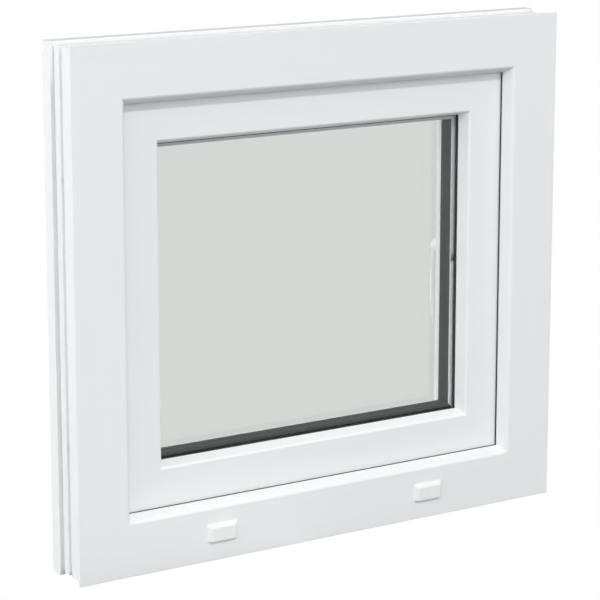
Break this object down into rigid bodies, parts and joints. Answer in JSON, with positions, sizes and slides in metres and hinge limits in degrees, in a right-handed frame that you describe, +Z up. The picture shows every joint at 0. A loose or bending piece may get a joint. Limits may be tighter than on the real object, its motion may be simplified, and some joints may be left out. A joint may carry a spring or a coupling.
{
  "type": "casement window",
  "caption": "Single-sash white uPVC casement window with double glazing that opens inwards and tilts, with locking gear, drain caps and a lever handle.",
  "frame": {"origin": "middle of the fixed frame's bottom, halfway through the frame's depth, in the plane of the bottom flanges that sit in the wall opening", "axes": "+X along the width to the handle side, seen from outside; +Y into the room; +Z up"},
  "size_m": [0.65, 0.149, 0.6],
  "materials": {
    "upvc_white": "co-extruded white uPVC, satin gloss",
    "galvanised_steel": "rolled and galvanised",
    "zinc_hardware": "silver zinc-plated",
    "seal_black": "extruded EPDM, matt",
    "gasket_grey": "co-extruded TPE, matt",
    "glass_clear": "float glass",
    "spacer_metal": "folded, perforated",
    "sealant_black": "polysulphide, matt",
    "block_plastic": "moulded",
    "cap_white": "moulded, satin",
    "handle_white": "powder coated white, satin"
  },
  "bodies": {
    "frame": {"frame_bottom_rail": "upvc_white", "frame_top_rail": "upvc_white", "frame_left_stile": "upvc_white", "frame_right_stile": "upvc_white", "frame_steel_bottom": "galvanised_steel", "frame_steel_top": "galvanised_steel", "frame_steel_left": "galvanised_steel", "frame_steel_right": "galvanised_steel", "frame_seal": "seal_black", "drain_cap_left": "cap_white", "drain_cap_right": "cap_white", "side_keeps": "zinc_hardware", "top_keep": "zinc_hardware", "keep_screws": "zinc_hardware", "lower_bearing": "zinc_hardware", "tilt_pin": "zinc_hardware", "lower_bearing_cover": "cap_white", "stay_bearing": "zinc_hardware", "stay_bearing_cover": "cap_white", "bearing_screws": "zinc_hardware"},
    "corner_pivot": {"corner_pivot": "zinc_hardware"},
    "sash": {"sash_bottom_rail": "upvc_white", "sash_top_rail": "upvc_white", "sash_left_stile": "upvc_white", "sash_right_stile": "upvc_white", "sash_steel_bottom": "galvanised_steel", "sash_steel_top": "galvanised_steel", "sash_steel_left": "galvanised_steel", "sash_steel_right": "galvanised_steel", "sash_seal": "seal_black", "glazing_bead_bottom": "upvc_white", "glazing_bead_top": "upvc_white", "glazing_bead_left": "upvc_white", "glazing_bead_right": "upvc_white", "outer_glazing_gasket": "gasket_grey", "inner_glazing_gasket": "gasket_grey", "outer_pane": "glass_clear", "inner_pane": "glass_clear", "spacer_bar": "spacer_metal", "edge_sealant": "sealant_black", "setting_blocks": "block_plastic", "corner_band": "zinc_hardware", "band_screws": "zinc_hardware", "gearbox_case": "zinc_hardware", "side_faceplate": "zinc_hardware", "top_faceplate": "zinc_hardware", "corner_drive": "zinc_hardware", "handle_rose": "zinc_hardware", "rose_cover": "handle_white", "handle_screws": "zinc_hardware", "stay_pin": "zinc_hardware"},
    "handle": {"handle_lever": "handle_white", "handle_spindle": "zinc_hardware", "drive_pinion": "zinc_hardware"},
    "side_drive": {"side_drive_rod": "zinc_hardware", "side_cams": "zinc_hardware"},
    "top_drive": {"top_drive_rod": "zinc_hardware", "top_cam": "zinc_hardware"},
    "stay_arm": {"stay_arm": "zinc_hardware", "bearing_pin": "zinc_hardware"}
  },
  "joints": [
    {"name": "sash_tilt", "type": "hinge", "parent": "frame", "child": "corner_pivot", "pos_m": [-0.2915, 0.044, 0.0335], "axis": [-1, 0, 0], "range_deg": [0, 7.5]},
    {"name": "sash_turn", "type": "hinge", "parent": "corner_pivot", "child": "sash", "pos_m": [-0.2915, 0.044, 0.0335], "axis": [0, 0, 1], "range_deg": [0, 90]},
    {"name": "handle_turn", "type": "hinge", "parent": "sash", "child": "handle", "pos_m": [0.249, 0.055, 0.3], "axis": [0, 1, 0], "range_deg": [0, 180]},
    {"name": "side_rod_slide", "type": "slide", "parent": "sash", "child": "side_drive", "axis": [0, 0, -1], "range_m": [0, 0.033]},
    {"name": "top_rod_slide", "type": "slide", "parent": "sash", "child": "top_drive", "axis": [1, 0, 0], "range_m": [0, 0.033]},
    {"name": "stay_swing", "type": "hinge", "parent": "sash", "child": "stay_arm", "pos_m": [-0.06, 0.019, 0.5433], "axis": [0, 0, 1], "range_deg": [0, 16.7]}
  ],
  "couplings": [
    {"joint": "side_rod_slide", "follows": "handle_turn", "m_per_rad": 0.0105},
    {"joint": "top_rod_slide", "follows": "handle_turn", "m_per_rad": 0.0105},
    {"joint": "stay_swing", "follows": "sash_tilt", "ratio": 2.22}
  ]
}
